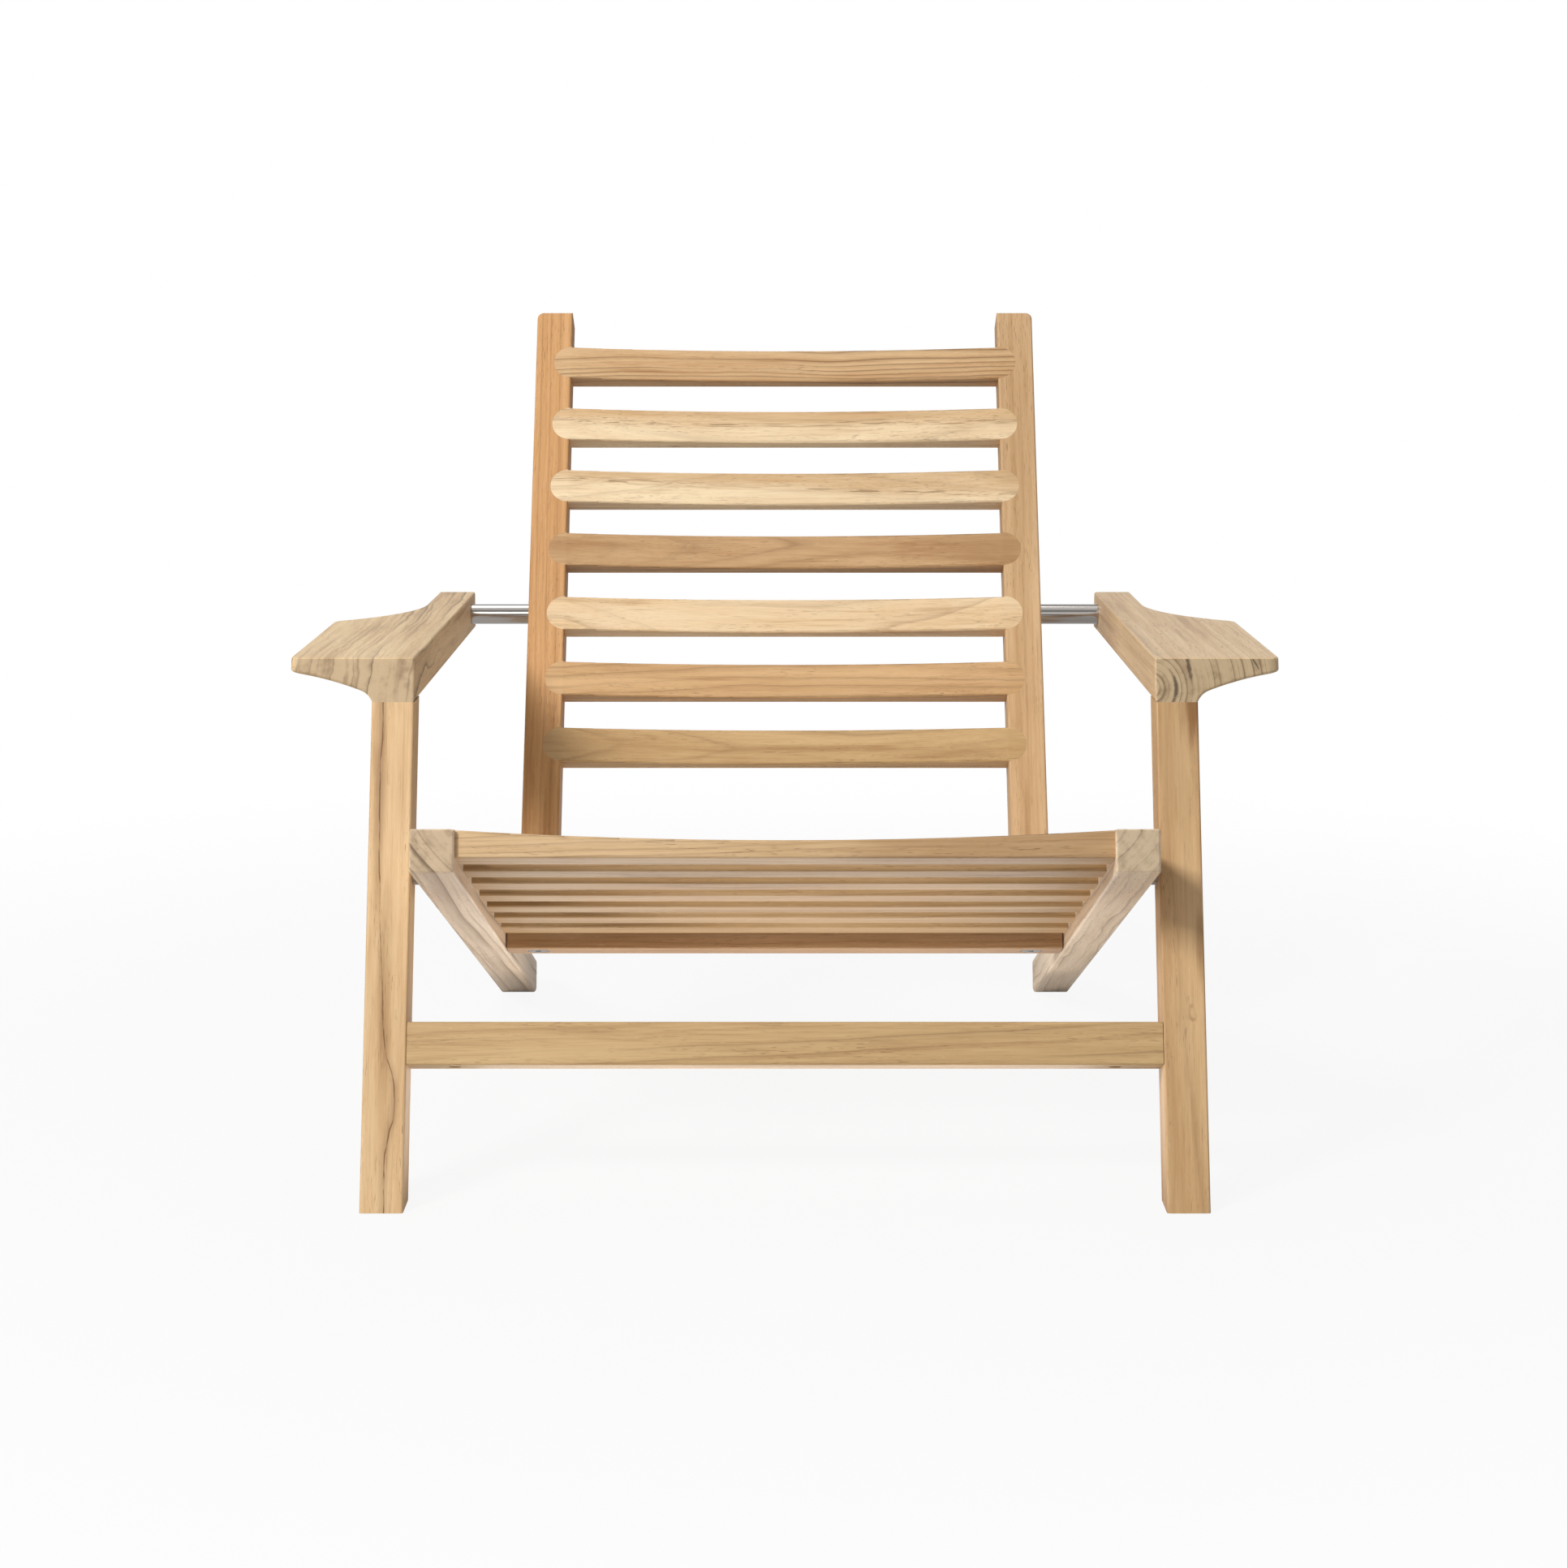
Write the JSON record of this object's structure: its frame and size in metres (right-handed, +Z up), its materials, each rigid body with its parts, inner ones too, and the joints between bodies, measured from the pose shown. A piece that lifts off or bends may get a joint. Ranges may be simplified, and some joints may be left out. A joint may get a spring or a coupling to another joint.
{
  "type": "deck chair",
  "caption": "Low slatted hardwood deck chair with broad armrests; the reclined back stands on a crossbar that turns in the seat rails and leans on a steel rod.",
  "frame": {"origin": "on the floor, in the middle of the chair's width and depth", "axes": "+X to the right of somebody who looks at the chair's front, +Y towards its back, +Z up"},
  "size_m": [0.769, 0.7409, 0.6549],
  "materials": {
    "left_front_leg": "sanded teak",
    "right_front_leg": "sanded teak",
    "left_armrest": "sanded teak",
    "right_armrest": "sanded teak",
    "front_stretcher": "sanded teak",
    "left_seat_rail": "sanded teak",
    "right_seat_rail": "sanded teak",
    "left_back_stile": "sanded teak",
    "right_back_stile": "sanded teak",
    "rear_crossbar": "sanded teak",
    "seat_slat_1": "sanded teak",
    "back_slat_1": "sanded teak",
    "seat_slat_2": "sanded teak",
    "back_slat_2": "sanded teak",
    "seat_slat_3": "sanded teak",
    "back_slat_3": "sanded teak",
    "seat_slat_4": "sanded teak",
    "back_slat_4": "sanded teak",
    "seat_slat_5": "sanded teak",
    "back_slat_5": "sanded teak",
    "seat_slat_6": "sanded teak",
    "back_slat_6": "sanded teak",
    "seat_slat_7": "sanded teak",
    "back_slat_7": "sanded teak",
    "stainless_steel": "brushed",
    "zinc_plated_steel": "plated",
    "bush_plastic": "moulded"
  },
  "bodies": {
    "frame": {"left_front_leg": "left_front_leg", "right_front_leg": "right_front_leg", "left_armrest": "left_armrest", "right_armrest": "right_armrest", "front_stretcher": "front_stretcher", "left_seat_rail": "left_seat_rail", "right_seat_rail": "right_seat_rail", "seat_slat_1": "seat_slat_1", "seat_slat_2": "seat_slat_2", "seat_slat_3": "seat_slat_3", "seat_slat_4": "seat_slat_4", "seat_slat_5": "seat_slat_5", "seat_slat_6": "seat_slat_6", "seat_slat_7": "seat_slat_7", "back_rest_rod": "stainless_steel", "rail_spacers": "stainless_steel", "rail_bolts": "stainless_steel", "rail_inserts": "zinc_plated_steel", "rail_lock_pins": "zinc_plated_steel", "stretcher_bolts": "stainless_steel", "stretcher_barrel_nuts": "zinc_plated_steel", "pivot_bushes": "bush_plastic"},
    "back": {"left_back_stile": "left_back_stile", "right_back_stile": "right_back_stile", "back_slat_1": "back_slat_1", "back_slat_2": "back_slat_2", "back_slat_3": "back_slat_3", "back_slat_4": "back_slat_4", "back_slat_5": "back_slat_5", "back_slat_6": "back_slat_6", "back_slat_7": "back_slat_7", "rear_crossbar": "rear_crossbar", "pivot_pins": "stainless_steel", "stile_bolts": "stainless_steel", "stile_inserts": "zinc_plated_steel"}
  },
  "joints": [
    {"name": "back_tilt", "type": "hinge", "parent": "frame", "child": "back", "pos_m": [0, 0.05386, 0.1226], "axis": [1, 0, 0], "range_deg": [0, 30]}
  ]
}
